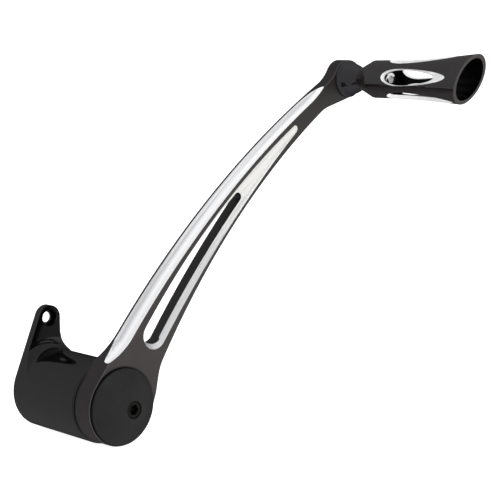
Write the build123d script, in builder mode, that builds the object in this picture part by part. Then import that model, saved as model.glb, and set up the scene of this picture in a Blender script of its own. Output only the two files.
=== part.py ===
from build123d import *
from math import atan2, cos, degrees, hypot, radians, sin, sqrt
import os

# Motorcycle foot shift lever: a curved billet arm swings on a spindle between a domed
# cap and a tubular shroud, and carries a flared, slotted toe peg on its upper eye.
#
# Millimetres, +Z up. The origin is on the pivot axis, on the face that seats against
# the machine. The pivot axis is Y and the rider's side is -Y. A "station" is a distance
# from the seat towards the rider, so a point at station s has y = -s.

os.makedirs("parts", exist_ok=True)

# ---------------------------------------------------------------- driving dimensions

SHROUD_R = 26.9
SHROUD_LENGTH = 65.4
BOSS_R = 25.8
ARM_BACK = 66.0                     # stations of the boss's two faces
ARM_FRONT = 81.0
EYE = (209.7, 204.8)                # peg axis, as (x, z)
EYE_R = 13.4
EYE_BACK = ARM_FRONT - 9.6
JOURNAL_R = 10.97
BUSHING_R = 13.0
SHOULDER_R = 17.0
SPINDLE_BODY_R = 8.2
PEG_BOLT_R = 3.0

# The blade's long edges are circular arcs: (centre x, centre z, radius).
UPPER_EDGE = (527.7, -369.0, 663.8)
LOWER_EDGE = (483.1, -250.4, 526.3)
POCKET_UPPER = (447.8, -278.5, 538.0)
POCKET_LOWER = (686.1, -443.6, 808.9)
WINDOW_LOWER = (659.5, -396.4, 760.0)

PIVOT = (0.0, 0.0)
PIVOT_AXIS = Axis((0, 0, 0), (0, -1, 0))
PEG_AXIS = Axis((EYE[0], 0, EYE[1]), (0, -1, 0))

# Half-section planes: local x is the station and local y the radius.
PIVOT_SECTION = Plane(origin=(0, 0, 0), x_dir=(0, -1, 0), z_dir=(-1, 0, 0))
PEG_SECTION = Plane(origin=(EYE[0], 0, EYE[1]), x_dir=(0, -1, 0), z_dir=(-1, 0, 0))


def facing(station):
    """Plane square to the pivot axis at a station, with its normal towards the rider."""
    return Plane.XZ.offset(station)


def polar(centre, radius, angle):
    """Point at an angle in degrees round a centre."""
    return (centre[0] + radius * cos(radians(angle)), centre[1] + radius * sin(radians(angle)))


def bearing(start, end):
    """Direction in degrees from one point to another."""
    return degrees(atan2(end[1] - start[1], end[0] - start[0]))


def on_arc(arc, x):
    """Point of a blade edge at a given x."""
    return (x, arc[1] + sqrt(arc[2] ** 2 - (x - arc[0]) ** 2))


def turned(section, axis, outline):
    """Solid of revolution from a closed (station, radius) outline."""
    with BuildPart() as piece:
        with BuildSketch(section):
            with BuildLine():
                Polyline(*outline, close=True)
            make_face()
        revolve(axis=axis)
    return piece


def ring(centre, inner_r, outer_r, start, end):
    """Plain ring between two stations."""
    with BuildPart() as piece:
        with BuildSketch(facing(start)):
            with Locations(centre):
                Circle(outer_r)
                Circle(inner_r, mode=Mode.SUBTRACT)
        extrude(amount=end - start)
    return piece


def lock_ring(centre, inner_r, outer_r, start, end):
    """Spring lock washer: a ring with one oblique cut at the top."""
    gap = 0.8
    with BuildPart() as piece:
        with BuildSketch(facing(start)):
            with Locations(centre):
                Circle(outer_r)
                Circle(inner_r, mode=Mode.SUBTRACT)
        extrude(amount=end - start)
        cut_centre = (centre[0], -(start + end) / 2, centre[1] + (inner_r + outer_r) / 2)
        with Locations(Location(cut_centre, (0, 0, 25))):
            Box(gap, 4 * (end - start), 2 * (outer_r - inner_r), mode=Mode.SUBTRACT)
    return piece


def o_ring(section, axis, station, radius, cord_r):
    """Sealing ring of round cord."""
    with BuildPart() as piece:
        with BuildSketch(section):
            with Locations((station, radius)):
                Circle(cord_r)
        revolve(axis=axis)
    return piece


# ---------------------------------------------------------------- pivot shroud

EAR = (-0.4, 47.4)                  # centre of the ear hole, as (x, z)
EAR_R = 8.4
EAR_THICKNESS = 5.5
EAR_HOLE_R = 3.65
EAR_SPOTFACE_R = 5.8
EAR_LAND = 1.9                      # metal left under the spot face
EAR_BLEND_R = 7.2                   # from the ear's face down onto the tube
EAR_SWEEP_R = 24.0                  # from the ear's forward edge round onto the tube
SHROUD_BORE_R = 22.4
SHROUD_WALL = (54.0, 59.0)          # stations of the inner wall the spindle clamps

# The ear's rear edge is the common tangent of the tube and the ear's rounded head.
tangent_angle = bearing(PIVOT, EAR) + degrees(
    atan2(sqrt(EAR[1] ** 2 + EAR[0] ** 2 - (SHROUD_R - EAR_R) ** 2), SHROUD_R - EAR_R)
)
forward_x = EAR[0] + EAR_R
sweep_reach = SHROUD_R + EAR_SWEEP_R
sweep_centre = (forward_x + EAR_SWEEP_R, sqrt(sweep_reach**2 - (forward_x + EAR_SWEEP_R) ** 2))
sweep_angle = bearing(PIVOT, sweep_centre)

with BuildSketch(facing(0)) as ear_outline:
    with BuildLine():
        Line(polar(PIVOT, SHROUD_R, tangent_angle), polar(EAR, EAR_R, tangent_angle))
        ThreePointArc(polar(EAR, EAR_R, tangent_angle), polar(EAR, EAR_R, 90), polar(EAR, EAR_R, 0))
        Line(polar(EAR, EAR_R, 0), (forward_x, sweep_centre[1]))
        ThreePointArc(
            (forward_x, sweep_centre[1]),
            polar(sweep_centre, EAR_SWEEP_R, 180 + sweep_angle / 2),
            polar(PIVOT, SHROUD_R, sweep_angle),
        )
        Polyline(polar(PIVOT, SHROUD_R, sweep_angle), PIVOT, polar(PIVOT, SHROUD_R, tangent_angle))
    make_face()

with BuildPart() as ear_blend:
    with BuildSketch(PIVOT_SECTION):
        with BuildLine():
            JernArc((EAR_THICKNESS, SHROUD_R + EAR_BLEND_R), (0, -1), EAR_BLEND_R, 90)
            Polyline(
                (EAR_THICKNESS + EAR_BLEND_R, SHROUD_R),
                (EAR_THICKNESS + EAR_BLEND_R, SHROUD_R - 1),
                (0, SHROUD_R - 1),
                (0, SHROUD_R + EAR_BLEND_R),
                (EAR_THICKNESS, SHROUD_R + EAR_BLEND_R),
            )
        make_face()
    revolve(axis=PIVOT_AXIS)
    extrude(ear_outline.sketch, amount=EAR_THICKNESS + EAR_BLEND_R, mode=Mode.INTERSECT)

with BuildPart() as pivot_shroud:
    with BuildSketch(facing(0)):
        Circle(SHROUD_R)
    extrude(amount=SHROUD_LENGTH)
    fillet(edges().group_by(Axis.Y)[0], 1.2)
    extrude(ear_outline.sketch, amount=EAR_THICKNESS)
    add(ear_blend.part)
    with BuildSketch(facing(0)):
        with Locations(EAR):
            Circle(EAR_HOLE_R)
    extrude(amount=EAR_THICKNESS, mode=Mode.SUBTRACT)
    with BuildSketch(facing(EAR_LAND)):
        with Locations(EAR):
            Circle(EAR_SPOTFACE_R)
    extrude(amount=EAR_THICKNESS, mode=Mode.SUBTRACT)
    with BuildSketch(facing(0)):
        Circle(SHROUD_BORE_R)
    extrude(amount=SHROUD_WALL[0], mode=Mode.SUBTRACT)
    with BuildSketch(facing(SHROUD_WALL[0])):
        Circle(SPINDLE_BODY_R + 0.1)
    extrude(amount=SHROUD_LENGTH, mode=Mode.SUBTRACT)
    with BuildSketch(facing(SHROUD_WALL[1])):
        Circle(SHOULDER_R + 0.3)
    extrude(amount=SHROUD_LENGTH, mode=Mode.SUBTRACT)

# ---------------------------------------------------------------- spindle and spacer

STUD_R = 7.94
STUD_LENGTH = 22.0
SHOULDER_FACE = 65.0
SPINDLE_END = 82.0
CAP_SCREW_R = 4.0
CAP_PIN = (0.0, -7.6)               # locating pin between cap and spindle, as (x, z)
PIN_R = 1.25

with BuildPart() as pivot_spindle:
    with BuildSketch(PIVOT_SECTION):
        with BuildLine():
            Polyline(
                (-STUD_LENGTH, 0),
                (-STUD_LENGTH, STUD_R - 1.5),
                (-STUD_LENGTH + 1.5, STUD_R),
                (0, STUD_R),
                (0, SPINDLE_BODY_R),
                (SHROUD_WALL[1], SPINDLE_BODY_R),
                (SHROUD_WALL[1], SHOULDER_R),
                (SHOULDER_FACE, SHOULDER_R),
                (SHOULDER_FACE, JOURNAL_R),
                (SPINDLE_END - 0.4, JOURNAL_R),
                (SPINDLE_END, JOURNAL_R - 0.4),
                (SPINDLE_END, 0),
                close=True,
            )
        make_face()
    revolve(axis=PIVOT_AXIS)
    with BuildSketch(facing(SPINDLE_END)):
        Circle(CAP_SCREW_R + 0.02)
    extrude(amount=-19, mode=Mode.SUBTRACT)
    with BuildSketch(facing(SPINDLE_END)):
        with Locations(CAP_PIN):
            Circle(PIN_R + 0.02)
    extrude(amount=-4.2, mode=Mode.SUBTRACT)

SPACER_R = 13.0
FLANGE = (0.0, 6.5)                 # stations of the spacer's centring flange
RING_GROOVE = (2.0, 4.6)
CORD_R = 1.25

spindle_spacer = turned(
    PIVOT_SECTION,
    PIVOT_AXIS,
    [
        (FLANGE[0], SPINDLE_BODY_R + 0.1),
        (FLANGE[0], SHROUD_BORE_R - 0.15),
        (RING_GROOVE[0], SHROUD_BORE_R - 0.15),
        (RING_GROOVE[0], SHROUD_BORE_R - 2 * CORD_R),
        (RING_GROOVE[1], SHROUD_BORE_R - 2 * CORD_R),
        (RING_GROOVE[1], SHROUD_BORE_R - 0.15),
        (FLANGE[1], SHROUD_BORE_R - 0.15),
        (FLANGE[1], SPACER_R),
        (SHROUD_WALL[0], SPACER_R),
        (SHROUD_WALL[0], SPINDLE_BODY_R + 0.1),
    ],
)
shroud_ring = o_ring(
    PIVOT_SECTION, PIVOT_AXIS, sum(RING_GROOVE) / 2, SHROUD_BORE_R - CORD_R - 0.02, CORD_R - 0.02
)

# ---------------------------------------------------------------- lever arm

TAPER_START = 26.0                  # distances along the line from the pivot to the eye
TAPER_END = 279.0
FLARE_CORNER = (-9.4, 29.7)
HEEL_CORNER = (28.8, 4.3)           # low on the forward side of the boss
BEND_X = 1.8                        # where the flare joins the upper edge
KNEE_X = 32.2                       # where the heel's flank joins the lower edge
NECK_X = 186.0                      # where the lower edge turns in to the eye
POCKET_END_R = 9.4
POCKET_TIP_R = 2.4
POCKET_DEPTH = 7.4                  # at the pivot end; the floor ramps out to the tip
POCKET_DRAFT = 0.3                  # inset of the side walls at the full depth
POCKET_FLOOR_END_R = 9.07
WINDOW_INSET = 3.5                  # from the pocket's upper wall
WINDOW_END_R = 7.5
WINDOW_TIP_R = 3.08
SCALLOP_R = 11.75                   # round cutter that scoops the upper front corner
SCALLOP_STAND_OFF = 9.0             # of the cutter's path outside the upper edge
SCALLOP_SPAN = (141.7, 122.65)      # bearings of the path's ends round its centre
SCALLOP_RUN_OUT = (28.0, 29.5)      # lengths of its tapering ends
SCALLOP_LEAN = (11.0, 12.0)         # of the lower end, towards the rider and off the blade
SCALLOP_STATION = 75.0              # of the path, abreast of the pivot
BUSHING_FLANGE_R = 16.0
BUSHING_FLANGE = 1.5
SEAL_GROOVE_R = (18.9, 21.7)
SEAL_GROOVE_DEPTH = 1.7
INSERT_R = 5.0
PIN_HOLE_DEPTH = 3.9
EYE_PIN = (EYE[0] + 8.2, EYE[1])

eye_bearing = bearing(PIVOT, EYE)
taper = (EYE_BACK - ARM_BACK) / (TAPER_END - TAPER_START)
along = Vector(EYE[0], 0, EYE[1]).normalized()
across = Vector(-along.Z, 0, along.X)
sloped = Vector(along.X, -taper, along.Z).normalized()
SIDE_VIEW = Plane(origin=(0, 0, 0), x_dir=along, z_dir=-across)

bend = on_arc(UPPER_EDGE, BEND_X)
knee = on_arc(LOWER_EDGE, KNEE_X)
neck = on_arc(LOWER_EDGE, NECK_X)
upper_end = on_arc(UPPER_EDGE, EYE[0] - 0.7 * EYE_R)


def touch_angle(centre, radius, point, side):
    """Bearing, from a circle's centre, of the tangent from an outside point."""
    reach = hypot(point[0] - centre[0], point[1] - centre[1])
    return bearing(centre, point) + side * degrees(atan2(sqrt(reach**2 - radius**2), radius))


def meeting_point(first, first_r, second, second_r):
    """Crossing of two circles round arc centres, on the blade's side."""
    gap = hypot(second[0] - first[0], second[1] - first[1])
    reach = (first_r**2 - second_r**2 + gap**2) / (2 * gap)
    height = sqrt(first_r**2 - reach**2)
    angle = bearing(first, second)
    foot = polar(first, reach, angle)
    crossings = (polar(foot, height, angle + 90), polar(foot, height, angle - 90))
    return max(crossings, key=lambda point: point[0] * along.X + point[1] * along.Z)


def inset(arc, change):
    """The arc with its radius changed, about the same centre."""
    return (arc[0], arc[1], arc[2] + change)


def leaf_outline(station, upper, lower, end_r, tip_r):
    """Face at a station between two blade arcs, with a round end and a smaller round tip."""
    end = meeting_point(upper, upper[2] - end_r, lower, lower[2] + end_r)
    tip = meeting_point(upper, upper[2] - tip_r, lower, lower[2] + tip_r)
    end_upper = polar(end, end_r, bearing(upper, end))
    end_lower = polar(end, end_r, bearing(end, lower))
    tip_upper = polar(tip, tip_r, bearing(upper, tip))
    tip_lower = polar(tip, tip_r, bearing(tip, lower))
    middle = ((end[0] + tip[0]) / 2, (end[1] + tip[1]) / 2)
    middle_upper = polar(upper, upper[2], bearing(upper, middle))
    middle_lower = polar(lower, lower[2], bearing(lower, middle))
    with BuildSketch(facing(station)) as outline:
        with BuildLine():
            ThreePointArc(end_upper, middle_upper, tip_upper)
            ThreePointArc(tip_upper, polar(tip, tip_r, eye_bearing), tip_lower)
            ThreePointArc(tip_lower, middle_lower, end_lower)
            ThreePointArc(end_lower, polar(end, end_r, 180 + eye_bearing), end_upper)
        make_face()
    return outline.sketch


with BuildSketch(facing(ARM_BACK)) as arm_outline:
    flare_foot = polar(PIVOT, BOSS_R, touch_angle(PIVOT, BOSS_R, FLARE_CORNER, 1))
    heel_foot = polar(PIVOT, BOSS_R, touch_angle(PIVOT, BOSS_R, HEEL_CORNER, -1))
    neck_foot = polar(EYE, EYE_R, touch_angle(EYE, EYE_R, neck, 1))
    with BuildLine():
        Polyline(heel_foot, HEEL_CORNER, knee)
        ThreePointArc(knee, on_arc(LOWER_EDGE, (KNEE_X + NECK_X) / 2), neck)
        Polyline(neck, neck_foot, EYE, upper_end)
        ThreePointArc(upper_end, on_arc(UPPER_EDGE, upper_end[0] / 2), bend)
        Polyline(bend, FLARE_CORNER, flare_foot, PIVOT, heel_foot)
    make_face()
    Circle(BOSS_R)
    with Locations(EYE):
        Circle(EYE_R)
    fillet(vertices().sort_by_distance(bend)[0], 58)
    fillet(vertices().sort_by_distance(knee)[0], 30)
    fillet(vertices().sort_by_distance(neck)[0], 25)
    fillet(vertices().sort_by_distance(polar(EYE, EYE_R, 174))[0], 28)

with BuildPart() as pocket:
    mouth = leaf_outline(ARM_FRONT, POCKET_UPPER, POCKET_LOWER, POCKET_END_R, POCKET_TIP_R)
    floor = leaf_outline(
        ARM_FRONT - POCKET_DEPTH,
        inset(POCKET_UPPER, -POCKET_DRAFT),
        inset(POCKET_LOWER, POCKET_DRAFT),
        POCKET_FLOOR_END_R,
        POCKET_TIP_R - POCKET_DRAFT,
    )
    loft([mouth, floor], ruled=True)
    with BuildSketch(SIDE_VIEW):
        with BuildLine():
            Polyline(
                (TAPER_START, ARM_FRONT - POCKET_DEPTH - 1),
                (TAPER_START, ARM_FRONT - POCKET_DEPTH),
                (235, ARM_FRONT - 0.25),
                (235, ARM_FRONT - POCKET_DEPTH - 1),
                close=True,
            )
        make_face()
    extrude(amount=60, both=True, mode=Mode.SUBTRACT)

with BuildPart() as scallop:
    centre_along = UPPER_EDGE[0] * along.X + UPPER_EDGE[1] * along.Z
    scallop_plane = Plane(
        origin=(UPPER_EDGE[0], -(SCALLOP_STATION + taper * centre_along), UPPER_EDGE[1]),
        x_dir=sloped,
        z_dir=sloped.cross(across),
    )
    with BuildLine(scallop_plane) as path:
        CenterArc(
            PIVOT,
            UPPER_EDGE[2] + SCALLOP_STAND_OFF,
            SCALLOP_SPAN[0] - eye_bearing,
            SCALLOP_SPAN[1] - SCALLOP_SPAN[0],
        )
    with BuildSketch(Plane(origin=path.line @ 0, z_dir=path.line % 0)):
        Circle(SCALLOP_R)
    sweep(path=path.line)
    rider_lean, outward_lean = (radians(angle) for angle in SCALLOP_LEAN)
    outward = Vector(*polar((0, 0), 1, SCALLOP_SPAN[0])).rotate(Axis.X, 90)
    in_plane = path.line % 0 * -cos(outward_lean) + outward * sin(outward_lean)
    leaning = in_plane * cos(rider_lean) - Vector(0, 1, 0) * sin(rider_lean)
    with Locations(path.line @ 0):
        Sphere(SCALLOP_R)
    for end, direction in enumerate((leaning, path.line % 1)):
        with BuildSketch(Plane(origin=path.line @ end, x_dir=direction, z_dir=direction.cross(outward))):
            with BuildLine():
                EllipticalCenterArc(
                    PIVOT, SCALLOP_RUN_OUT[end], SCALLOP_R, start_angle=0, arc_size=90
                )
                Polyline((0, SCALLOP_R), (0, 0), (SCALLOP_RUN_OUT[end], 0))
            make_face()
        revolve(axis=Axis(path.line @ end, direction))

with BuildPart() as lever_arm:
    extrude(arm_outline.sketch, amount=ARM_FRONT - ARM_BACK)
    chamfer(faces().sort_by(Axis.Y)[0].edges(), 0.4)
    with BuildSketch(SIDE_VIEW):
        with BuildLine():
            Polyline(
                (TAPER_START, ARM_BACK),
                (TAPER_END, EYE_BACK),
                (TAPER_END + 3 * EYE_R, EYE_BACK),
                (TAPER_END + 3 * EYE_R, ARM_BACK - 1),
                (TAPER_START, ARM_BACK - 1),
                close=True,
            )
        make_face()
    extrude(amount=60, both=True, mode=Mode.SUBTRACT)
    add(scallop.part, mode=Mode.SUBTRACT)
    add(pocket.part, mode=Mode.SUBTRACT)
    window_upper = inset(POCKET_UPPER, -WINDOW_INSET)
    window = leaf_outline(ARM_BACK, window_upper, WINDOW_LOWER, WINDOW_END_R, WINDOW_TIP_R)
    extrude(window, amount=ARM_FRONT - ARM_BACK, mode=Mode.SUBTRACT)
    with BuildSketch(facing(ARM_BACK)):
        Circle(BUSHING_R)
        with Locations(EYE):
            Circle(INSERT_R)
    extrude(amount=ARM_FRONT - ARM_BACK, mode=Mode.SUBTRACT)
    for face, inward in ((ARM_BACK, 1), (ARM_FRONT, -1)):
        with BuildSketch(facing(face)):
            Circle(BUSHING_FLANGE_R + 0.1)
        extrude(amount=inward * BUSHING_FLANGE, mode=Mode.SUBTRACT)
        with BuildSketch(facing(face)):
            Circle(SEAL_GROOVE_R[1])
            Circle(SEAL_GROOVE_R[0], mode=Mode.SUBTRACT)
        extrude(amount=inward * SEAL_GROOVE_DEPTH, mode=Mode.SUBTRACT)
    with BuildSketch(facing(ARM_FRONT)):
        with Locations(EYE_PIN):
            Circle(PIN_R + 0.02)
    extrude(amount=-PIN_HOLE_DEPTH, mode=Mode.SUBTRACT)

# ---------------------------------------------------------------- bearing stack

BUSHING_BORE_R = 11.0
BUSHING_JOINT = (ARM_BACK + ARM_FRONT) / 2
SEAL_CORD_R = 1.05
SEAL_R = sum(SEAL_GROOVE_R) / 2
THRUST_R = (11.2, 15.8)


def flanged_bushing(face, joint):
    """Bushing with its flange flush with one face of the boss."""
    under_flange = face + BUSHING_FLANGE * (1 if joint > face else -1)
    return turned(
        PIVOT_SECTION,
        PIVOT_AXIS,
        [
            (face, BUSHING_BORE_R),
            (face, BUSHING_FLANGE_R),
            (under_flange, BUSHING_FLANGE_R),
            (under_flange, BUSHING_R - 0.01),
            (joint, BUSHING_R - 0.01),
            (joint, BUSHING_BORE_R),
        ],
    )


inner_bushing = flanged_bushing(ARM_BACK, BUSHING_JOINT - 0.1)
outer_bushing = flanged_bushing(ARM_FRONT, BUSHING_JOINT + 0.1)
seal_offset = SEAL_GROOVE_DEPTH - SEAL_CORD_R - 0.02
inner_seal = o_ring(PIVOT_SECTION, PIVOT_AXIS, ARM_BACK + seal_offset, SEAL_R, SEAL_CORD_R)
outer_seal = o_ring(PIVOT_SECTION, PIVOT_AXIS, ARM_FRONT - seal_offset, SEAL_R, SEAL_CORD_R)
inner_thrust_washer = ring(PIVOT, THRUST_R[0], THRUST_R[1] + 1, SHOULDER_FACE + 0.02, ARM_BACK - 0.02)
outer_thrust_washer = ring(PIVOT, *THRUST_R, ARM_FRONT + 0.02, ARM_FRONT + 0.45)
disc_spring = turned(
    PIVOT_SECTION,
    PIVOT_AXIS,
    [
        (ARM_FRONT + 0.47, THRUST_R[1]),
        (ARM_FRONT + 0.77, THRUST_R[1]),
        (SPINDLE_END - 0.02, THRUST_R[0]),
        (SPINDLE_END - 0.32, THRUST_R[0]),
    ],
)

# ---------------------------------------------------------------- cap and its screw

CAP_R = 25.3
CAP_RIM = ARM_FRONT + 0.5
CAP_APEX = ARM_FRONT + 13.4
CAP_SEAT = 87.6                     # floor of the screw's counterbore
SCREW_HEAD_R = 5.5
SCREW_HEAD = (88.5, 93.2)
SCREW_KEY = 6.4                     # hexagon across flats
SCREW_TIP = 66.0

counterbore_r = SCREW_HEAD_R + 0.15
screw_hole_r = CAP_SCREW_R + 0.15
mouth_bevel = 0.3
dome_rise = CAP_APEX - SPINDLE_END
dome_r = (CAP_R**2 + dome_rise**2) / (2 * dome_rise)
dome_centre = (CAP_APEX - dome_r, 0)
rim_angle = bearing(dome_centre, (SPINDLE_END, CAP_R))
mouth_angle = degrees(atan2(counterbore_r + mouth_bevel, sqrt(dome_r**2 - (counterbore_r + mouth_bevel) ** 2)))
dome_mouth = polar(dome_centre, dome_r, mouth_angle)

with BuildPart() as pivot_cap:
    with BuildSketch(PIVOT_SECTION):
        with BuildLine():
            Polyline(
                dome_mouth,
                (dome_mouth[0] - mouth_bevel, counterbore_r),
                (CAP_SEAT, counterbore_r),
                (CAP_SEAT, screw_hole_r),
                (SPINDLE_END, screw_hole_r),
                (SPINDLE_END, SHOULDER_R + 0.3),
                (CAP_RIM, SHOULDER_R + 0.3),
                (CAP_RIM, CAP_R - 0.3),
                (SPINDLE_END, CAP_R),
            )
            ThreePointArc(
                (SPINDLE_END, CAP_R),
                polar(dome_centre, dome_r, (rim_angle + mouth_angle) / 2),
                dome_mouth,
            )
        make_face()
    revolve(axis=PIVOT_AXIS)
    with BuildSketch(facing(SPINDLE_END)):
        with Locations(CAP_PIN):
            Circle(PIN_R + 0.02)
    extrude(amount=4.2, mode=Mode.SUBTRACT)


def socket_screw(section, axis, centre, shank_r, head_r, tip, head, key, key_depth):
    """Cylindrical-head screw with a hexagon socket."""
    with BuildPart() as piece:
        with BuildSketch(section):
            with BuildLine():
                Polyline(
                    (tip, 0),
                    (tip, shank_r - 0.6),
                    (tip + 0.6, shank_r),
                    (head[0], shank_r),
                    (head[0], head_r),
                    (head[1] - 0.4, head_r),
                    (head[1], head_r - 0.4),
                    (head[1], 0),
                    close=True,
                )
            make_face()
        revolve(axis=axis)
        with BuildSketch(facing(head[1])):
            with Locations(centre):
                RegularPolygon(key / 2, 6, major_radius=False)
        extrude(amount=-key_depth, mode=Mode.SUBTRACT)
    return piece


cap_screw = socket_screw(
    PIVOT_SECTION, PIVOT_AXIS, PIVOT, CAP_SCREW_R, SCREW_HEAD_R, SCREW_TIP, SCREW_HEAD, SCREW_KEY, 3.5
)
cap_lock_washer = lock_ring(PIVOT, CAP_SCREW_R + 0.15, SCREW_HEAD_R - 0.05, CAP_SEAT, SCREW_HEAD[0])

with BuildPart() as cap_pin:
    with BuildSketch(facing(SPINDLE_END)):
        with Locations(CAP_PIN):
            Circle(PIN_R)
    extrude(amount=4.0, both=True)

# ---------------------------------------------------------------- peg collar

COLLAR_R = 13.2
WAIST = (95.8, 7.8)                 # station and radius of the narrowest section
JOINT_RING_CORD_R = 0.49
JOINT_RING_R = 12.2
WAIST_PIN = (EYE[0] + 5.4, EYE[1])

with BuildPart() as peg_collar:
    with BuildSketch(PEG_SECTION):
        with BuildLine():
            Spline(
                (ARM_FRONT + 1.2, COLLAR_R),
                (ARM_FRONT + 2.6, 11.9),
                (ARM_FRONT + 6.3, 10.8),
                (ARM_FRONT + 10.1, 9.25),
                WAIST,
            )
            Polyline(
                WAIST,
                (WAIST[0], PEG_BOLT_R + 0.2),
                (ARM_FRONT, PEG_BOLT_R + 0.2),
                (ARM_FRONT, JOINT_RING_R - 0.7),
                (ARM_FRONT + 1, JOINT_RING_R - 0.7),
                (ARM_FRONT + 1, COLLAR_R),
                (ARM_FRONT + 1.2, COLLAR_R),
            )
        make_face()
    revolve(axis=PEG_AXIS)
    for station, pin, inward in ((ARM_FRONT, EYE_PIN, 1), (WAIST[0], WAIST_PIN, -1)):
        with BuildSketch(facing(station)):
            with Locations(pin):
                Circle(PIN_R + 0.02)
        extrude(amount=inward * PIN_HOLE_DEPTH, mode=Mode.SUBTRACT)

joint_ring = o_ring(PEG_SECTION, PEG_AXIS, ARM_FRONT + 0.5, JOINT_RING_R, JOINT_RING_CORD_R)
eye_insert = ring(EYE, PEG_BOLT_R + 0.02, INSERT_R - 0.01, EYE_BACK, ARM_FRONT - 0.3)

with BuildPart() as index_pins:
    for station, pin in ((ARM_FRONT, EYE_PIN), (WAIST[0], WAIST_PIN)):
        with BuildSketch(facing(station)):
            with Locations(pin):
                Circle(PIN_R)
        extrude(amount=PIN_HOLE_DEPTH - 0.1, both=True)

# ---------------------------------------------------------------- toe peg

PEG_SHOULDER = (108.4, 13.2)        # station and radius
PEG_FLARE = (200.0, 17.8)
PEG_WALL = 2.75
BORE_FLOOR = 118.5
BOLT_SEAT = 112.7
SEAT_R = 6.3
MOUTH_STATION = 190.0
MOUTH_TILT = 23.4
MOUTH_BEARING = 103.7               # direction in which the mouth reaches furthest
SLOT_COUNT = 5
SLOT_BEARING = 173.0
SLOT_STATION = 137.0                # of the slots' widest section
# Slot outline at two radii: (radius, rear reach, front reach, half width).
SLOT_SECTIONS = ((17.5, 15.1, 49.1, 7.1), (8.5, 11.8, 17.9, 4.9))

flare_rise = (PEG_FLARE[1] - PEG_SHOULDER[1]) / (PEG_FLARE[0] - PEG_SHOULDER[0]) ** 2


def flare_r(station):
    """Radius of the peg's flare, which leaves the shoulder tangentially."""
    return PEG_SHOULDER[1] + flare_rise * (station - PEG_SHOULDER[0]) ** 2


def draw_flare(start, wall):
    """Curve of the flare from a station to the end, inset by a wall thickness."""
    stations = (start, (start + PEG_FLARE[0]) / 2, PEG_FLARE[0])
    return ThreePointArc(*[(station, flare_r(station) - wall) for station in stations])


with BuildPart() as peg_body:
    with BuildSketch(PEG_SECTION):
        with BuildLine():
            outside = draw_flare(PEG_SHOULDER[0], 0)
            inside = draw_flare(BORE_FLOOR, PEG_WALL)
            Line(outside @ 1, inside @ 1)
            Polyline(
                inside @ 0,
                (BORE_FLOOR, SEAT_R),
                (BOLT_SEAT, SEAT_R),
                (BOLT_SEAT, PEG_BOLT_R + 0.2),
                (WAIST[0], PEG_BOLT_R + 0.2),
                WAIST,
                outside @ 0,
            )
        make_face()
    revolve(axis=PEG_AXIS)
    tilt = sin(radians(MOUTH_TILT))
    mouth_normal = (
        -tilt * cos(radians(MOUTH_BEARING)),
        -cos(radians(MOUTH_TILT)),
        -tilt * sin(radians(MOUTH_BEARING)),
    )
    split(
        bisect_by=Plane(origin=(EYE[0], -MOUTH_STATION, EYE[1]), z_dir=mouth_normal),
        keep=Keep.BOTTOM,
    )
    chamfer(faces().sort_by(Axis.Y)[0].edges(), 0.35)
    for number in range(SLOT_COUNT):
        angle = SLOT_BEARING + 360 / SLOT_COUNT * number
        outward = Vector(cos(radians(angle)), 0, sin(radians(angle)))
        axis_point = Vector(EYE[0], -SLOT_STATION, EYE[1])
        for radius, rear, front, half_width in SLOT_SECTIONS:
            with BuildSketch(Plane(origin=axis_point + outward * radius, x_dir=(0, -1, 0), z_dir=outward)):
                with BuildLine():
                    EllipticalCenterArc(PIVOT, front, half_width, start_angle=-90, arc_size=180)
                    EllipticalCenterArc(PIVOT, rear, half_width, start_angle=90, arc_size=180)
                make_face()
        loft(mode=Mode.SUBTRACT)
    with BuildSketch(facing(WAIST[0])):
        with Locations(WAIST_PIN):
            Circle(PIN_R + 0.02)
    extrude(amount=PIN_HOLE_DEPTH, mode=Mode.SUBTRACT)

PEG_HEAD = (115.5, 121.5)
peg_bolt = socket_screw(PEG_SECTION, PEG_AXIS, EYE, PEG_BOLT_R, 4.9, EYE_BACK + 1.5, PEG_HEAD, 5.0, 3.0)
peg_washer = ring(EYE, PEG_BOLT_R + 0.2, SEAT_R - 0.3, BOLT_SEAT, BOLT_SEAT + 1.2)
peg_lock_washer = lock_ring(EYE, PEG_BOLT_R + 0.15, 4.9, BOLT_SEAT + 1.2, PEG_HEAD[0])

# ---------------------------------------------------------------- output

pieces = {
    "pivot_shroud": pivot_shroud,
    "pivot_spindle": pivot_spindle,
    "spindle_spacer": spindle_spacer,
    "shroud_ring": shroud_ring,
    "inner_thrust_washer": inner_thrust_washer,
    "outer_thrust_washer": outer_thrust_washer,
    "disc_spring": disc_spring,
    "pivot_cap": pivot_cap,
    "cap_screw": cap_screw,
    "cap_lock_washer": cap_lock_washer,
    "cap_pin": cap_pin,
    "lever_arm": lever_arm,
    "inner_bushing": inner_bushing,
    "outer_bushing": outer_bushing,
    "inner_seal": inner_seal,
    "outer_seal": outer_seal,
    "peg_collar": peg_collar,
    "joint_ring": joint_ring,
    "eye_insert": eye_insert,
    "index_pins": index_pins,
    "peg_body": peg_body,
    "peg_bolt": peg_bolt,
    "peg_washer": peg_washer,
    "peg_lock_washer": peg_lock_washer,
}

for name, piece in pieces.items():
    piece.part.label = name
    export_step(piece.part, f"parts/{name}.step")
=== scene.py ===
import math

import bpy
from mathutils import Euler, Matrix, Vector


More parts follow.
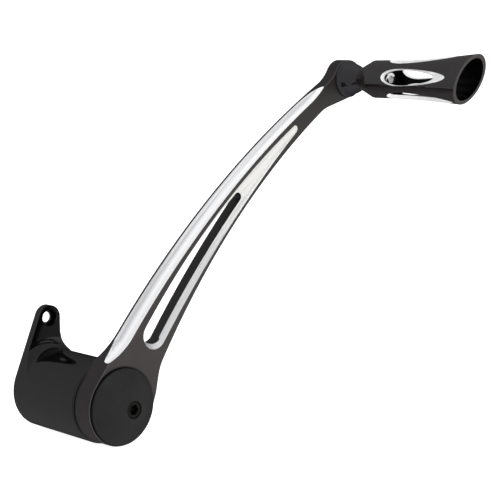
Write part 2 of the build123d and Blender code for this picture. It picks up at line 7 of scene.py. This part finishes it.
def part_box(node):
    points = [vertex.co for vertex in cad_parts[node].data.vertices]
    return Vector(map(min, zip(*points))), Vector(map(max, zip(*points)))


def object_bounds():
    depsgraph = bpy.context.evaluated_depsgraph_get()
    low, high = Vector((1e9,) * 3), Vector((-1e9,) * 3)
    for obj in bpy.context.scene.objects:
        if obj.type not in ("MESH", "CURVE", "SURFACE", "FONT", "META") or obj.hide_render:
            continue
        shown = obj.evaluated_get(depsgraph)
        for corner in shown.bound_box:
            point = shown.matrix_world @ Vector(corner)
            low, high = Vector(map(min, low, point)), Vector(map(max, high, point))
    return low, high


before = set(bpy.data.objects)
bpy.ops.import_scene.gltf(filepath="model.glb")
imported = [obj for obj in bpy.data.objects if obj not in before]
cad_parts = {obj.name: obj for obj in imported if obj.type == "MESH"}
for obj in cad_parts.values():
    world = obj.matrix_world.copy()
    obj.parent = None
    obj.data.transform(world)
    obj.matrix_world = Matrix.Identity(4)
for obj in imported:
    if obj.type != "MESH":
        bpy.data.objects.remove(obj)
cad_low, cad_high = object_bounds()

# ---------------------------------------------------------------- frame measurements
# The CAD frame is in metres. The pivot lies along Y, the rider's side is -Y, and the arm
# rises along +X and +Z. An axis parallel to Y is given as its (x, z).

MM = 0.001
ARM_FRONT_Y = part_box("lever_arm")[0].y
BOSS_BACK_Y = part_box("lever_arm")[1].y
CAP_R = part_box("pivot_cap")[1].x
SHROUD_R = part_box("pivot_shroud")[1].x
PEG_END_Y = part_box("peg_body")[0].y
COLLAR_LOW, COLLAR_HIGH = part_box("peg_collar")

PIVOT_AXIS = (0.0, 0.0)
PEG_AXIS = ((COLLAR_LOW.x + COLLAR_HIGH.x) / 2, (COLLAR_LOW.z + COLLAR_HIGH.z) / 2)
BLADE_AXIS = (527.7 * MM, -369.0 * MM)      # centre of the arm's long upper edge

# ---------------------------------------------------------------- node helpers


class Tree:
    """Short names for building one node tree."""

    def __init__(self, owner):
        owner.use_nodes = True
        self.owner = owner
        self.nodes = owner.node_tree.nodes
        self.links = owner.node_tree.links
        self.nodes.clear()

    def add(self, kind, settings=None, **inputs):
        """New node; an underscore in an input's keyword stands for a space."""
        node = self.nodes.new(kind)
        for key, value in (settings or {}).items():
            setattr(node, key, value)
        for key, value in inputs.items():
            self.plug(node, key.replace("_", " "), value)
        return node

    def plug(self, node, key, value):
        """Give an input a value, a socket, or the first output of another node."""
        if isinstance(value, bpy.types.Node):
            value = value.outputs[0]
        if isinstance(value, bpy.types.NodeSocket):
            self.links.new(value, node.inputs[key])
        else:
            node.inputs[key].default_value = value

    def math(self, operation, first, second=0.0):
        node = self.add("ShaderNodeMath", {"operation": operation})
        self.plug(node, 0, first)
        self.plug(node, 1, second)
        return node.outputs[0]

    def product(self, first, *others):
        for other in others:
            first = self.math("MULTIPLY", first, other)
        return first

    def ramp(self, value, span, result=(0.0, 1.0)):
        """Straight ramp from one result to the other over a span, level outside it."""
        limits = dict(From_Min=span[0], From_Max=span[1], To_Min=result[0], To_Max=result[1])
        return self.add("ShaderNodeMapRange", {"clamp": True}, Value=value, **limits).outputs[0]

    def mix(self, factor, first, second):
        """Blend of two colours."""
        node = self.add("ShaderNodeMix", {"data_type": "RGBA"})
        factor_input, first_colour, second_colour, colour_output = 0, 6, 7, 2
        self.plug(node, factor_input, factor)
        self.plug(node, first_colour, first)
        self.plug(node, second_colour, second)
        return node.outputs[colour_output]

    def noise(self, vector, scale, detail, roughness=0.55):
        node = self.add(
            "ShaderNodeTexNoise", Vector=vector, Scale=scale, Detail=detail, Roughness=roughness
        )
        return node.outputs["Fac"]

    def bump(self, height, distance, strength):
        return self.add("ShaderNodeBump", Height=height, Distance=distance, Strength=strength)

    def dot(self, first, second):
        node = self.add("ShaderNodeVectorMath", {"operation": "DOT_PRODUCT"})
        self.plug(node, 0, first)
        self.plug(node, 1, second)
        return node.outputs["Value"]

    def scaled(self, vector, factor):
        node = self.add("ShaderNodeVectorMath", {"operation": "SCALE"}, Scale=factor)
        self.plug(node, 0, vector)
        return node.outputs["Vector"]

    def split(self, vector):
        """The three components of a vector."""
        return tuple(self.add("ShaderNodeSeparateXYZ", Vector=vector).outputs)

    def join(self, x, y, z=0.0):
        return self.add("ShaderNodeCombineXYZ", X=x, Y=y, Z=z).outputs[0]

    def position(self):
        """Millimetre coordinates that move with the piece."""
        return self.scaled(self.add("ShaderNodeTexCoord").outputs["Object"], 1 / MM)

    def normal(self):
        return self.add("ShaderNodeNewGeometry").outputs["Normal"]

    def surface(self, **inputs):
        """The material, with a principled shader as its surface."""
        shader = self.add("ShaderNodeBsdfPrincipled", **inputs)
        self.add("ShaderNodeOutputMaterial", Surface=shader)
        return self.owner


def rgb(red, green, blue):
    return (red, green, blue, 1.0)


def darker(colour, share):
    """A share of a colour's strength."""
    return rgb(*[share * channel for channel in colour])


def offset_from(tree, axis):
    """Offsets in x and z from an axis parallel to Y, in millimetres."""
    x, _, z = tree.split(tree.position())
    return tree.math("SUBTRACT", x, axis[0] / MM), tree.math("SUBTRACT", z, axis[1] / MM)


def distance_from(tree, axis):
    """Distance from an axis parallel to Y, in millimetres."""
    from_x, from_z = offset_from(tree, axis)
    squares = tree.math("ADD", tree.product(from_x, from_x), tree.product(from_z, from_z))
    return tree.math("SQRT", squares)


# ---------------------------------------------------------------- materials
# Noise scales are in features per millimetre and bump heights in metres.

NOISE_MIDDLE = (0.3, 0.7)           # most of a noise's values lie in this span

# Painted shade lies in the thin gaps, in millimetres off the edges that bound them.
CAP_GAP_WIDTH = 1.2
CAP_GAP_DEPTH = (0.1, 0.2)
SHROUD_GAP_WIDTH = (1.0, 4.0)
SHROUD_GAP_DEPTH = (0.9, 0.5)
# Painted shade round the cap's rim, in millimetres inside it.
RIM_WIDTH = (0.75, 0.35)
RIM_DARKEST = 0.02


def swing(value, change):
    """The span that a value covers when it changes by this much either way."""
    return (value + change[0], value + change[1])


def gap_shade(tree):
    """Painted shade: 0 in the two thin gaps beside the arm's boss, round the cap and along its back
    edge.
    """
    radius = distance_from(tree, PIVOT_AXIS)
    _, y, _ = tree.split(tree.position())
    front, back, cap_r, shroud_r = (d / MM for d in (ARM_FRONT_Y, BOSS_BACK_Y, CAP_R, SHROUD_R))
    behind_face = tree.ramp(y, (front + CAP_GAP_DEPTH[0], front + CAP_GAP_DEPTH[1]))
    beyond_cap = tree.ramp(radius, (cap_r, cap_r + CAP_GAP_WIDTH))
    before_edge = tree.ramp(y, (back - SHROUD_GAP_DEPTH[0], back - SHROUD_GAP_DEPTH[1]), (1.0, 0.0))
    beyond_shroud = tree.ramp(
        radius, (shroud_r + SHROUD_GAP_WIDTH[0], shroud_r + SHROUD_GAP_WIDTH[1])
    )
    outside_cap_gap = tree.math("MAXIMUM", behind_face, beyond_cap)
    outside_shroud_gap = tree.math("MAXIMUM", before_edge, beyond_shroud)
    return tree.product(outside_cap_gap, outside_shroud_gap)


def rim_shade(tree):
    """Painted shade: almost 0 round the cap's rim."""
    cap_r = CAP_R / MM
    span = (cap_r - RIM_WIDTH[0], cap_r - RIM_WIDTH[1])
    return tree.ramp(distance_from(tree, PIVOT_AXIS), span, (1.0, RIM_DARKEST))


# A lighter colour along sharp edges is a painted highlight.
EDGE_HIGHLIGHT_R = 0.35 * MM
EDGE_HIGHLIGHT_SPAN = (0.02, 0.25)       # bend of the surface over which the painted highlight sets in
EDGE_HIGHLIGHT_COLOUR = rgb(0.32, 0.3, 0.29)
BEVEL_SAMPLES = 6


def edge_highlights(tree):
    """Painted highlight: 1 along sharp edges, 0 on open faces."""
    bevel = tree.add("ShaderNodeBevel", {"samples": BEVEL_SAMPLES}, Radius=EDGE_HIGHLIGHT_R)
    flatness = tree.dot(bevel.outputs[0], tree.normal())
    return tree.ramp(tree.math("SUBTRACT", 1.0, flatness), EDGE_HIGHLIGHT_SPAN)


GRAIN_SCALE = 5.0                   # bead blasting
GRAIN_HEIGHT = 0.02 * MM
GRAIN_TONES = (0.9, 1.1)
MOTTLE_SCALE = 0.06                 # uneven dye
MOTTLE_TONES = (0.86, 1.14)
MOTTLE_ROUGH_SPAN = (0.25, 0.75)
MOTTLE_ROUGHNESS = (-0.04, 0.05)
TONE_AT_TOP = 0.6                    # share of the colour at the peg's height, of 1 at the pivot's
SHEEN_TINT = rgb(1.0, 0.93, 0.9)
SHEEN_ROUGHNESS = 0.35


def anodised(
    name, colour, roughness, edge_lift=0.3, specular=0.4, grain_depth=0.5, sheen=0.0, painted_shade=None
):
    """Bead-blasted, dyed aluminium: fine grain, faint mottling, a little darker higher up."""
    tree = Tree(bpy.data.materials.new(name))
    place = tree.position()
    grain = tree.noise(place, GRAIN_SCALE, detail=2.0)
    mottle = tree.noise(place, MOTTLE_SCALE, detail=4.0)
    _, _, height = tree.split(place)
    darkening = tree.ramp(height, (0.0, PEG_AXIS[1] / MM), (1.0, TONE_AT_TOP))
    # Painted shade, where given, darkens the colour.
    if painted_shade:
        darkening = tree.product(darkening, painted_shade(tree))
    mottling = tree.ramp(mottle, NOISE_MIDDLE, MOTTLE_TONES)
    speckle = tree.ramp(grain, NOISE_MIDDLE, GRAIN_TONES)
    tinted = tree.scaled(colour, tree.product(mottling, speckle, darkening))
    return tree.surface(
        Base_Color=tree.mix(tree.product(edge_highlights(tree), edge_lift), tinted, EDGE_HIGHLIGHT_COLOUR),
        Roughness=tree.ramp(mottle, MOTTLE_ROUGH_SPAN, swing(roughness, MOTTLE_ROUGHNESS)),
        Normal=tree.bump(grain, GRAIN_HEIGHT, strength=grain_depth),
        Specular_IOR_Level=specular,
        Sheen_Weight=sheen,
        Sheen_Roughness=SHEEN_ROUGHNESS,
        Sheen_Tint=SHEEN_TINT,
    )


PEEL_SCALE = 0.55                   # orange peel
PEEL_HEIGHT = 0.02 * MM
DUST_SCALE = 2.2
DUST_SPAN = (0.62, 0.8)
DUST_COLOUR = rgb(0.3, 0.3, 0.31)
MOST_DUST = 0.02
DUST_ROUGH_SPAN = (0.4, 0.75)
DUST_ROUGHNESS = (0.0, 0.05)


def gloss(name, colour, roughness, specular):
    """Glossy black coating with faint orange peel and a little dust."""
    tree = Tree(bpy.data.materials.new(name))
    place = tree.position()
    peel = tree.noise(place, PEEL_SCALE, detail=1.5)
    dust = tree.noise(place, DUST_SCALE, detail=6.0, roughness=0.7)
    dustiness = tree.ramp(dust, DUST_SPAN, (0.0, MOST_DUST))
    return tree.surface(
        Base_Color=tree.mix(dustiness, rgb(*colour), DUST_COLOUR),
        Roughness=tree.ramp(dust, DUST_ROUGH_SPAN, swing(roughness, DUST_ROUGHNESS)),
        Normal=tree.bump(peel, PEEL_HEIGHT, strength=0.5),
        Specular_IOR_Level=specular,
    )


# Spans of a bright cut's normal along the pivot axis, which set where painted shade falls: -1 faces
# the rider, 0 is an upright wall.
WALL_SPAN = (-0.45, -0.2)
FLOOR_SPAN = (-0.95, -0.8)
FLOOR_SHARE = 0.5


def lean_share(tree):
    """Share of painted shade: 0 on the walls of a bright cut, a share on its floor and 1 where it
    leans between them.
    """
    inboard = tree.dot(tree.normal(), (0.0, 1.0, 0.0))
    off_the_walls = tree.ramp(inboard, WALL_SPAN, (1.0, 0.0))
    off_the_floor = tree.ramp(inboard, FLOOR_SPAN, (FLOOR_SHARE, 1.0))
    return tree.product(off_the_walls, off_the_floor)


CUTTER_LINE_SCALE = 2.2
CUTTER_LINE_HEIGHT = 0.004 * MM
CUTTER_LINE_SPAN = (0.3, 0.55)
CUTTER_LINE_LOSS = (0.07, 0.0)      # of tone
# The strips set the cut's roughness, and painted reflection strips over painted shade where it leans.
CUTTER_AND_REFLECTION_STRIP_SCALE = 0.55
REFLECTION_STRIP_SPAN = (0.42, 0.58)
REFLECTION_STRIP_LOSS = (0.52, 0.26)
CUTTER_ROUGHNESS = (0.08, 0.0)
LINE_STRETCH = 5.0                  # noise cells per radian along the cutter's path
SATIN_METALLIC = 0.35               # lets the soft lamps light the bright cuts evenly
LOST_TONE = 0.1                     # share of the colour left where all tone is lost


def brushed_along_blade(name, colour, roughness):
    """Bright machined aluminium whose cutter lines follow the blade's curve, with painted shade and
    painted reflection strips where it leans toward the rider.
    """
    tree = Tree(bpy.data.materials.new(name))
    from_x, from_z = offset_from(tree, BLADE_AXIS)
    angle = tree.math("ARCTAN2", from_z, from_x)
    _, y, _ = tree.split(tree.position())
    path = tree.join(distance_from(tree, BLADE_AXIS), y, tree.product(angle, LINE_STRETCH))
    lines = tree.noise(path, CUTTER_LINE_SCALE, detail=2.0, roughness=0.7)
    strips = tree.noise(path, CUTTER_AND_REFLECTION_STRIP_SCALE, detail=1.0)
    painted_reflection_strips = tree.ramp(strips, REFLECTION_STRIP_SPAN, REFLECTION_STRIP_LOSS)
    painted_shade_by_lean = tree.product(lean_share(tree), painted_reflection_strips)
    lost_in_lines = tree.ramp(lines, CUTTER_LINE_SPAN, CUTTER_LINE_LOSS)
    shade = tree.math("SUBTRACT", tree.math("SUBTRACT", 1.0, painted_shade_by_lean), lost_in_lines)
    return tree.surface(
        Base_Color=tree.mix(shade, darker(colour, LOST_TONE), rgb(*colour)),
        Metallic=SATIN_METALLIC,
        Roughness=tree.ramp(strips, NOISE_MIDDLE, swing(roughness, CUTTER_ROUGHNESS)),
        Normal=tree.bump(lines, CUTTER_LINE_HEIGHT, strength=0.6),
    )


LATHE_MARK_HEIGHT = 0.01 * MM
LATHE_ROUGHNESS = (-0.04, 0.06)
STAIN_SCALE = 0.25
STAIN_SPAN = (0.35, 0.7)
MOST_STAIN = 0.25
STAINED_TONE = 0.72                 # share of the colour left in a full stain


def turned_metal(name, colour, roughness, axis, metallic=1.0, pitch=0.35, specular=0.5):
    """Metal with lathe marks, a pitch in millimetres apart, round an axis parallel to Y."""
    tree = Tree(bpy.data.materials.new(name))
    place = tree.position()
    _, y, _ = tree.split(place)
    marks = tree.noise(tree.join(distance_from(tree, axis), y), 1 / pitch, detail=2.0)
    stain = tree.noise(place, STAIN_SCALE, detail=4.0)
    stained = tree.ramp(stain, STAIN_SPAN, (0.0, MOST_STAIN))
    return tree.surface(
        Base_Color=tree.mix(stained, rgb(*colour), darker(colour, STAINED_TONE)),
        Metallic=metallic,
        Roughness=tree.ramp(marks, NOISE_MIDDLE, swing(roughness, LATHE_ROUGHNESS)),
        Normal=tree.bump(marks, LATHE_MARK_HEIGHT, strength=0.5),
        Specular_IOR_Level=specular,
    )


RUBBER_TONE = rgb(0.012, 0.012, 0.012)
BLOOM_TONE = rgb(0.03, 0.03, 0.031)
BLOOM_SCALE = 0.8
BLOOM_SPAN = (0.4, 0.7)
BLOOM_HEIGHT = 0.03 * MM


def rubber(name):
    """Black rubber with a faint grey bloom."""
    tree = Tree(bpy.data.materials.new(name))
    bloom = tree.noise(tree.position(), BLOOM_SCALE, detail=5.0)
    return tree.surface(
        Base_Color=tree.mix(tree.ramp(bloom, BLOOM_SPAN), RUBBER_TONE, BLOOM_TONE),
        Roughness=0.62,
        Normal=tree.bump(bloom, BLOOM_HEIGHT, strength=0.6),
    )


ANODISED = anodised("anodised_arm", (0.031, 0.0255, 0.0245), 0.42, painted_shade=gap_shade)
# The flanks take a darker, more purple copy of the arm's colour: painted shade.
ANODISED_SIDE = anodised(
    "anodised_side", (0.0115, 0.0085, 0.0105), 0.36, specular=0.35, painted_shade=gap_shade
)
# The chamfer takes a lighter copy of the arm's colour: painted highlight.
ANODISED_EDGE = anodised("anodised_edge", (0.05, 0.047, 0.046), 0.3, edge_lift=0.1, specular=0.5)
PEG_BLACK = anodised(
    "anodised_peg", (0.0085, 0.0055, 0.006), 0.1, specular=0.7, grain_depth=0.05, sheen=0.06
)
# The lip takes a lighter copy of the peg's colour: painted highlight.
PEG_LIP = anodised("anodised_lip", (0.05, 0.043, 0.039), 0.25, specular=0.5)
# The bore takes a near-black copy of the peg's colour: painted shade.
BORE_BLACK = anodised(
    "anodised_bore", (0.001, 0.0009, 0.0008), 0.3, edge_lift=0.0, specular=0.15
)
CAP_BLACK = anodised(
    "cap_black", (0.0155, 0.0155, 0.0155), 0.42, edge_lift=0.0, specular=0.15, painted_shade=rim_shade
)
# The cap's side takes a near-black copy of its colour: painted shade.
CAP_RIM = anodised("cap_rim", (0.001, 0.001, 0.001), 0.5, edge_lift=0.0, specular=0.1)
EAR_BLACK = gloss("ear_black", (0.001, 0.001, 0.001), 0.07, specular=0.14)
GLOSS_BLACK = gloss("gloss_black", (0.002, 0.002, 0.0022), 0.07, specular=0.42)
COLLAR_BLACK = gloss("collar_black", (0.0025, 0.0025, 0.0055), 0.08, specular=0.7)
BRIGHT = brushed_along_blade("bright_machined", (0.97, 0.975, 0.99), 0.2)
# The pocket's floor takes a darker, warmer copy of the bright colour: painted shade.
BRIGHT_FLOOR = brushed_along_blade("bright_floor", (0.84, 0.835, 0.81), 0.2)
PEG_BRIGHT = turned_metal(
    "bright_slots", (0.97, 0.97, 0.97), 0.2, PEG_AXIS, metallic=SATIN_METALLIC, pitch=0.5
)
STEEL = turned_metal("turned_steel", (0.5, 0.5, 0.51), 0.3, PIVOT_AXIS, metallic=0.6)
PEG_STEEL = turned_metal("peg_steel", (0.5, 0.5, 0.51), 0.3, PEG_AXIS)
OXIDE = turned_metal(
    "black_oxide", (0.006, 0.0056, 0.0045), 0.35, PIVOT_AXIS, metallic=0.2, specular=0.15
)
CHROME = turned_metal("polished_chrome", (0.86, 0.86, 0.87), 0.08, PEG_AXIS)
BRONZE = turned_metal("turned_bronze", (0.6, 0.38, 0.17), 0.32, PIVOT_AXIS)
RUBBER = rubber("seal_rubber")

FINISHES = {
    "pivot_shroud": GLOSS_BLACK,
    "pivot_spindle": STEEL,
    "spindle_spacer": STEEL,
    "shroud_ring": RUBBER,
    "inner_thrust_washer": STEEL,
    "outer_thrust_washer": STEEL,
    "disc_spring": STEEL,
    "pivot_cap": CAP_BLACK,
    "cap_screw": OXIDE,
    "cap_lock_washer": OXIDE,
    "cap_pin": STEEL,
    "lever_arm": ANODISED,
    "inner_bushing": BRONZE,
    "outer_bushing": BRONZE,
    "inner_seal": RUBBER,
    "outer_seal": RUBBER,
    "peg_collar": COLLAR_BLACK,
    "joint_ring": RUBBER,
    "eye_insert": PEG_STEEL,
    "index_pins": PEG_STEEL,
    "peg_body": PEG_BLACK,
    "peg_bolt": CHROME,
    "peg_washer": PEG_STEEL,
    "peg_lock_washer": PEG_STEEL,
}

# ---------------------------------------------------------------- one finish per CAD face

# Spans and limits of the Y part of a face's mean normal, called its slope, and of its place.
CUT_SLOPE = (-0.6, -0.05)
CUT_REACH = (20 * MM, 180 * MM)     # in x, clear of the boss and the eye
CUT_DEPTH = (0.5 * MM, 8 * MM)      # of its back edge behind the arm's front
CHAMFER_SLOPE = (-0.78, -0.62)
FLANK_SLOPE = (-0.9, 0.9)
UPRIGHT_SLOPE = (-0.2, 0.2)
FLOOR_SLOPE = -0.99
EAR_SLOPE = -0.95
EAR_FOOT_Z = 30 * MM
LIP_SLOPE = -0.5
LIP_REACH = 15 * MM                 # from the peg's open end
SLOT_OFFSET = 8 * MM                # a slot's centre is further than this from the peg's axis


def within(value, span):
    return span[0] < value < span[1]


class CadFace:
    """The mesh polygons that came from one face of the CAD solid."""

    def __init__(self, mesh, polygons):
        self.polygons = polygons
        area = sum(polygon.area for polygon in polygons)
        self.centre = sum((polygon.center * polygon.area for polygon in polygons), Vector()) / area
        self.normal = sum((polygon.normal * polygon.area for polygon in polygons), Vector()) / area
        corners = {index for polygon in polygons for index in polygon.vertices}
        self.back_y = max(mesh.vertices[index].co.y for index in corners)


def cad_faces(mesh):
    """Split a mesh into its CAD faces, which share no vertices with each other."""
    leader = list(range(len(mesh.vertices)))

    def find(vertex):
        while leader[vertex] != vertex:
            leader[vertex] = leader[leader[vertex]]
            vertex = leader[vertex]
        return vertex

    for polygon in mesh.polygons:
        for vertex in polygon.vertices[1:]:
            leader[find(vertex)] = find(polygon.vertices[0])
    groups = {}
    for polygon in mesh.polygons:
        groups.setdefault(find(polygon.vertices[0]), []).append(polygon)
    return [CadFace(mesh, polygons) for polygons in groups.values()]


def arm_cut(face):
    """The scallop along the blade and the pocket are cut bright after anodising."""
    on_blade = within(face.centre.x, CUT_REACH)
    below_front = within(face.back_y - ARM_FRONT_Y, CUT_DEPTH)
    return within(face.normal.y, CUT_SLOPE) or (on_blade and below_front)


def arm_floor(face):
    """The pocket's ramped floor."""
    return face.normal.y < FLOOR_SLOPE and arm_cut(face)


def arm_edge(face):
    """The small chamfer round the front face, which takes a painted highlight."""
    return within(face.normal.y, CHAMFER_SLOPE)


def arm_flank(face):
    """Every face but the front and the back: the blade's edges, the boss's rim, the holes."""
    return within(face.normal.y, FLANK_SLOPE)


def cap_rim(face):
    """The cap's cylindrical side."""
    return within(face.normal.y, UPRIGHT_SLOPE)


def ear_front(face):
    """The ear's flat front, with the floor of the spot face round its hole."""
    return face.normal.y < EAR_SLOPE and face.centre.z > EAR_FOOT_Z


def peg_cut(face):
    """The five slots of the peg are cut bright."""
    return math.hypot(face.centre.x - PEG_AXIS[0], face.centre.z - PEG_AXIS[1]) > SLOT_OFFSET


def peg_lip(face):
    """The slanted ring round the mouth."""
    return face.normal.y < LIP_SLOPE and face.centre.y < PEG_END_Y + LIP_REACH


def peg_inside(face):
    """The bore, which faces the peg's own axis."""
    inward = 0.0
    for polygon in face.polygons:
        away = Vector((polygon.center.x - PEG_AXIS[0], 0.0, polygon.center.z - PEG_AXIS[1]))
        inward -= polygon.normal.dot(away) * polygon.area
    return inward > MM**3


# Other finishes of a piece, some of them lighter or darker copies that carry painted light and shade,
# each with its test; a CAD face takes the first that it passes.
SECOND_FINISHES = {
    "lever_arm": [
        (arm_floor, BRIGHT_FLOOR),
        (arm_cut, BRIGHT),
        (arm_edge, ANODISED_EDGE),
        (arm_flank, ANODISED_SIDE),
    ],
    "pivot_cap": [(cap_rim, CAP_RIM)],
    "pivot_shroud": [(ear_front, EAR_BLACK)],
    "peg_body": [(peg_cut, PEG_BRIGHT), (peg_lip, PEG_LIP), (peg_inside, BORE_BLACK)],
}


def paint(name, piece):
    """Give a piece its finish and each of its CAD faces the other finish that is meant for it."""
    mesh = piece.data
    others = SECOND_FINISHES.get(name, [])
    mesh.materials.clear()
    for finish in [FINISHES[name]] + [finish for _, finish in others]:
        mesh.materials.append(finish)
    for face in cad_faces(mesh):
        passed = [slot for slot, (test, _) in enumerate(others, start=1) if test(face)]
        for polygon in face.polygons:
            polygon.material_index = passed[0] if passed else 0


for name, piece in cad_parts.items():
    paint(name, piece)

# ---------------------------------------------------------------- camera

CAMERA_POSITION = Vector((-554.5, -779.1, 219.3)) * MM
CAMERA_TURN = math.radians(-43.7)
CAMERA_DROP = math.radians(7.63)
CAMERA_ROTATION = Euler((math.pi / 2 - CAMERA_DROP, 0.0, CAMERA_TURN))
CAMERA_FORWARD = CAMERA_ROTATION.to_matrix() @ Vector((0.0, 0.0, -1.0))
LENS = 103.04                       # millimetres, as is the sensor
SENSOR_WIDTH = 36.0
CLIP = (0.01, 50.0)                 # metres from the camera


def link(name, data):
    """New object in the scene."""
    thing = bpy.data.objects.new(name, data)
    bpy.context.scene.collection.objects.link(thing)
    return thing


def make_camera():
    data = bpy.data.cameras.new("camera")
    data.lens = LENS
    data.sensor_width = SENSOR_WIDTH
    data.clip_start, data.clip_end = CLIP
    camera = link("camera", data)
    camera.rotation_euler = CAMERA_ROTATION
    camera.location = CAMERA_POSITION
    bpy.context.scene.camera = camera


make_camera()

# ---------------------------------------------------------------- stage and light

FLOOR_GAP = 0.2 * MM                # under the part
FLOOR_NEAR = -2.5                   # edges of the floor, along the camera's view
FLOOR_FAR = 1.4
FLOOR_WIDTH = 5.0
SWEEP_R = 0.6                       # curve from the floor up into the backdrop
SWEEP_STEPS = 12
BACKDROP_TOP = 2.6
PAPER_GLOW = 0.95
PAPER_ROUGHNESS = 0.9
PAPER_SPECULAR = 0.1
PAPER_TONES = (rgb(0.46, 0.46, 0.46), rgb(0.5, 0.5, 0.5))
FIBRE_SCALE = 0.02
WHITE = rgb(1.0, 1.0, 1.0)

LAMPS = {                           # location, size and watts
    "overhead_softbox": ((0.0, -0.3, 1.3), (1.6, 1.2), 16.0),
    "front_fill": ((0.5, -1.5, 0.6), (1.0, 0.8), 5.5),
}

FLAG_DROP = 1 * MM                  # under the part
FLAG_LEFT = -0.12
FLAG_RIGHT = 0.25
FLAG_FAR = 0.5
FLAG_NEAR = [(FLAG_LEFT, 0.2), (0.0, 0.09), (FLAG_RIGHT, 0.04)]

# Reflections come from a tent that darkens towards what lies behind the part, and a card.
TENT_SPAN = (0.0, 1.0)              # cosine with the camera's view
TENT_TONE = (0.57, 0.015)
SIDE_CARD = Vector((0.685, -0.716, -0.133))
CARD_SPAN = (0.75, 0.95)            # cosine with the card's direction
CARD_TONE = (0.0, 0.34)


def paper():
    """Pale paper with a faint fibre, glowing so that it stays even behind the part."""
    tree = Tree(bpy.data.materials.new("backdrop_paper"))
    fibre = tree.noise(tree.position(), FIBRE_SCALE, detail=3.0)
    return tree.surface(
        Base_Color=tree.mix(fibre, *PAPER_TONES),
        Roughness=PAPER_ROUGHNESS,
        Specular_IOR_Level=PAPER_SPECULAR,
        Emission_Color=WHITE,
        Emission_Strength=PAPER_GLOW,
    )


def make_stage():
    """Pale floor that curves up into a backdrop."""
    profile = [(FLOOR_NEAR, 0.0), (FLOOR_FAR, 0.0)]
    for step in range(1, SWEEP_STEPS + 1):
        turn = math.pi / 2 * step / SWEEP_STEPS
        profile.append((FLOOR_FAR + SWEEP_R * math.sin(turn), SWEEP_R * (1 - math.cos(turn))))
    profile.append((FLOOR_FAR + SWEEP_R, BACKDROP_TOP))
    vertices = []
    for along, up in profile:
        vertices.append((-FLOOR_WIDTH / 2, along, up))
        vertices.append((FLOOR_WIDTH / 2, along, up))
    faces = [(2 * i, 2 * i + 1, 2 * i + 3, 2 * i + 2) for i in range(len(profile) - 1)]
    mesh = bpy.data.meshes.new("backdrop")
    mesh.from_pydata(vertices, [], faces)
    for polygon in mesh.polygons:
        polygon.use_smooth = True
    mesh.materials.append(paper())
    backdrop = link("backdrop", mesh)
    floor = Matrix.Translation((0.0, 0.0, cad_low.z - FLOOR_GAP))
    backdrop.matrix_world = floor @ Matrix.Rotation(CAMERA_TURN, 4, "Z")
    backdrop.visible_glossy = False


def make_lamp(name, location, size, power):
    """Soft lamp aimed at the part, for the diffuse shading only."""
    data = bpy.data.lights.new(name, "AREA")
    data.shape = "RECTANGLE"
    data.size, data.size_y = size
    data.energy = power
    lamp = link(name, data)
    aim = (cad_low + cad_high) / 2 - Vector(location)
    lamp.location = location
    lamp.rotation_euler = aim.to_track_quat("-Z", "Y").to_euler()
    lamp.visible_glossy = False


def flag_cloth():
    """Black at the flag's left edge, thinning to nothing at its right edge."""
    tree = Tree(bpy.data.materials.new("flag_cloth"))
    across, _, _ = tree.split(tree.add("ShaderNodeTexCoord").outputs["Object"])
    cloth = tree.add("ShaderNodeMixShader", Fac=tree.ramp(across, (FLAG_LEFT, FLAG_RIGHT)))
    tree.plug(cloth, 1, tree.add("ShaderNodeEmission", Strength=0.0))
    tree.plug(cloth, 2, tree.add("ShaderNodeBsdfTransparent"))
    tree.add("ShaderNodeOutputMaterial", Surface=cloth)
    return tree.owner


def make_flag():
    """Black flag under the floor behind the part; only reflections see it, as the peg's dark line."""
    corners = FLAG_NEAR + [(FLAG_RIGHT, FLAG_FAR), (FLAG_LEFT, FLAG_FAR)]
    mesh = bpy.data.meshes.new("flag")
    height = cad_low.z - FLAG_DROP
    mesh.from_pydata([(x, y, height) for x, y in corners], [], [range(len(corners))])
    mesh.materials.append(flag_cloth())
    flag = link("flag", mesh)
    flag.visible_camera = False
    flag.visible_diffuse = False
    flag.visible_shadow = False


def make_world():
    """White for the camera; a tent and a card for everything else."""
    world = bpy.data.worlds.new("studio")
    bpy.context.scene.world = world
    tree = Tree(world)
    direction = tree.add("ShaderNodeTexCoord").outputs["Generated"]
    tent = tree.ramp(tree.dot(direction, CAMERA_FORWARD), TENT_SPAN, TENT_TONE)
    card = tree.ramp(tree.dot(direction, SIDE_CARD), CARD_SPAN, CARD_TONE)
    for_camera = tree.add("ShaderNodeLightPath").outputs["Is Camera Ray"]
    tone = tree.mix(for_camera, tree.math("ADD", tent, card), WHITE)
    background = tree.add("ShaderNodeBackground", Color=tone, Strength=1.0)
    tree.add("ShaderNodeOutputWorld", Surface=background)


make_stage()
for name, (location, size, power) in LAMPS.items():
    make_lamp(name, location, size, power)
make_flag()
make_world()

bpy.context.scene.view_settings.view_transform = "Standard"
bpy.context.scene.view_settings.look = "None"
